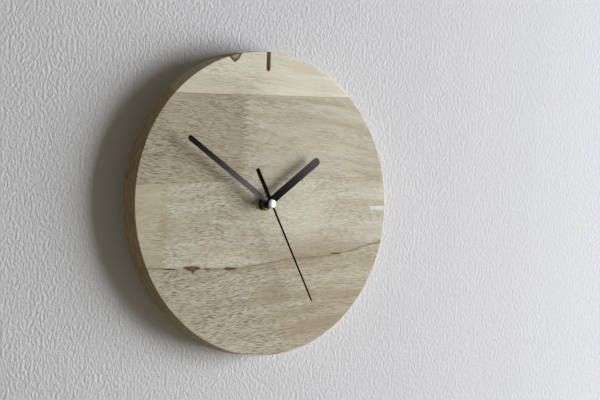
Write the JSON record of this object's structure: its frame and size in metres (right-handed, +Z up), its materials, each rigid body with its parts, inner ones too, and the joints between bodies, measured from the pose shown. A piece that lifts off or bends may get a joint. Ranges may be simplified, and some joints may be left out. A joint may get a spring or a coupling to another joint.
{
  "type": "wall clock",
  "caption": "Round wooden wall clock with plain black hands, slotted hour marks and a battery movement let into its back, hung on a nail by a keyhole plate.",
  "frame": {"origin": "on the wall plane, at the middle of the round end of the hanger plate's keyhole neck, where the wall nail carries the clock", "axes": "+Z up, +Y into the wall, so the face looks along -Y, and +X to the right as seen from the front; the hands' axis runs along Y at x = 0, z = -93.5 mm"},
  "size_m": [0.25, 0.0296, 0.25],
  "materials": {
    "wood": "matte",
    "black_hands": "satin",
    "polished_cap": "polished",
    "brass": "satin",
    "zinc_steel": "satin",
    "black_plastic": "matte",
    "white_plastic": "satin",
    "red_plastic": "satin",
    "rubber": "matte",
    "copper_wire": "satin",
    "ferrite": "matte",
    "silicon_steel": "satin",
    "green_board": "satin",
    "black_resin": "gloss",
    "nickel": "satin",
    "cell_sleeve": "gloss"
  },
  "bodies": {
    "clock": {"wood_disc": "wood", "hanger_plate": "zinc_steel", "hanger_screw_left": "zinc_steel", "hanger_screw_right": "zinc_steel", "movement_case": "black_plastic", "rear_cover": "black_plastic", "train_bridge": "white_plastic", "rubber_gasket": "rubber", "threaded_bush": "brass", "washer": "brass", "hex_nut": "brass", "stator": "silicon_steel", "coil_core": "silicon_steel", "coil_bobbin": "white_plastic", "coil_winding": "copper_wire", "circuit_board": "green_board", "chip_cap": "black_resin", "crystal_can": "nickel", "negative_contact": "nickel", "positive_contact": "nickel", "battery_cell": "cell_sleeve"},
    "rotor": {"rotor_pinion": "white_plastic", "rotor_magnet": "ferrite"},
    "intermediate": {"intermediate_wheel": "white_plastic"},
    "second": {"second_wheel": "white_plastic", "second_hand": "black_hands", "second_hand_hub": "black_hands", "second_hand_cap": "polished_cap"},
    "third": {"third_wheel": "white_plastic"},
    "centre": {"centre_wheel": "white_plastic"},
    "minute": {"cannon_pinion": "brass", "minute_hand": "black_hands", "minute_hand_collet": "black_hands"},
    "motion": {"motion_wheel": "white_plastic"},
    "hour": {"hour_wheel": "white_plastic", "hour_hand": "black_hands", "hour_hand_collet": "black_hands"},
    "knob": {"setting_knob": "red_plastic"}
  },
  "joints": [
    {"name": "second_hand_turn", "type": "hinge", "parent": "clock", "child": "second", "pos_m": [0, 0, -0.0935], "axis": [0, 1, 0], "continuous": true},
    {"name": "rotor_turn", "type": "hinge", "parent": "clock", "child": "rotor", "pos_m": [0.00428, 0, -0.08095], "axis": [0, 1, 0], "continuous": true},
    {"name": "intermediate_turn", "type": "hinge", "parent": "clock", "child": "intermediate", "pos_m": [0.00552, 0, -0.08798], "axis": [0, 1, 0], "continuous": true},
    {"name": "third_turn", "type": "hinge", "parent": "clock", "child": "third", "pos_m": [-0.00649, 0, -0.08701], "axis": [0, 1, 0], "continuous": true},
    {"name": "centre_turn", "type": "hinge", "parent": "clock", "child": "centre", "pos_m": [0, 0, -0.0935], "axis": [0, 1, 0], "continuous": true},
    {"name": "minute_hand_turn", "type": "hinge", "parent": "clock", "child": "minute", "pos_m": [0, 0, -0.0935], "axis": [0, 1, 0], "continuous": true},
    {"name": "motion_turn", "type": "hinge", "parent": "clock", "child": "motion", "pos_m": [0.00902, 0, -0.09022], "axis": [0, 1, 0], "continuous": true},
    {"name": "hour_hand_turn", "type": "hinge", "parent": "clock", "child": "hour", "pos_m": [0, 0, -0.0935], "axis": [0, 1, 0], "continuous": true},
    {"name": "setting_knob_turn", "type": "hinge", "parent": "clock", "child": "knob", "pos_m": [0.01382, 0, -0.0819], "axis": [0, 1, 0], "continuous": true}
  ],
  "couplings": [
    {"joint": "rotor_turn", "follows": "second_hand_turn", "ratio": 30},
    {"joint": "intermediate_turn", "follows": "second_hand_turn", "ratio": -4},
    {"joint": "third_turn", "follows": "second_hand_turn", "ratio": -0.13333},
    {"joint": "centre_turn", "follows": "second_hand_turn", "ratio": 0.016667},
    {"joint": "motion_turn", "follows": "minute_hand_turn", "ratio": -0.33333},
    {"joint": "hour_hand_turn", "follows": "minute_hand_turn", "ratio": 0.083333},
    {"joint": "setting_knob_turn", "follows": "minute_hand_turn", "ratio": 1}
  ]
}
